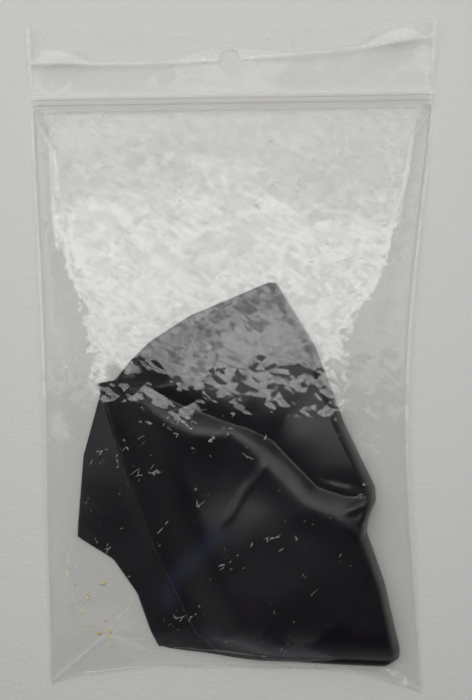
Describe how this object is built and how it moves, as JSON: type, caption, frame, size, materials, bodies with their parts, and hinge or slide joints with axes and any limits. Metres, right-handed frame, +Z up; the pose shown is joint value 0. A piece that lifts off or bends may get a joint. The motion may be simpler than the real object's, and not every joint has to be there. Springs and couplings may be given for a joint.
{
  "type": "rosin cake in grip-seal bag",
  "caption": "Bowed-instrument rosin cake folded in thin black leather inside a clear press-to-close bag whose mouth lifts open.",
  "frame": {"origin": "middle of the footprint, on the surface that the bag's back wall rests on", "axes": "+Z up out of the front film, +Y along the bag towards its closure and open end, +X to the right seen from above"},
  "size_m": [0.12, 0.203, 0.0164],
  "materials": {
    "clear_film": "clear, glossy, creased",
    "zip_film": "clear, slightly milky, extruded",
    "black_leather": "soft, fine grained, semi-matt",
    "amber_rosin": "glassy, translucent amber"
  },
  "bodies": {
    "bag": {"back_wall": "clear_film", "front_wall": "clear_film", "bottom_fold": "clear_film", "left_side_weld": "clear_film", "right_side_weld": "clear_film", "back_lip": "clear_film", "zip_rib": "zip_film", "leather_wrap": "black_leather", "rosin_cake": "amber_rosin", "rosin_crumbs": "amber_rosin"},
    "mouth": {"mouth_panel": "clear_film", "zip_channel": "zip_film", "front_lip": "clear_film"}
  },
  "joints": [
    {"name": "mouth_open", "type": "hinge", "parent": "bag", "child": "mouth", "pos_m": [0, 0.038, 0.0116], "axis": [1, 0, 0], "range_deg": [0, 20]}
  ]
}
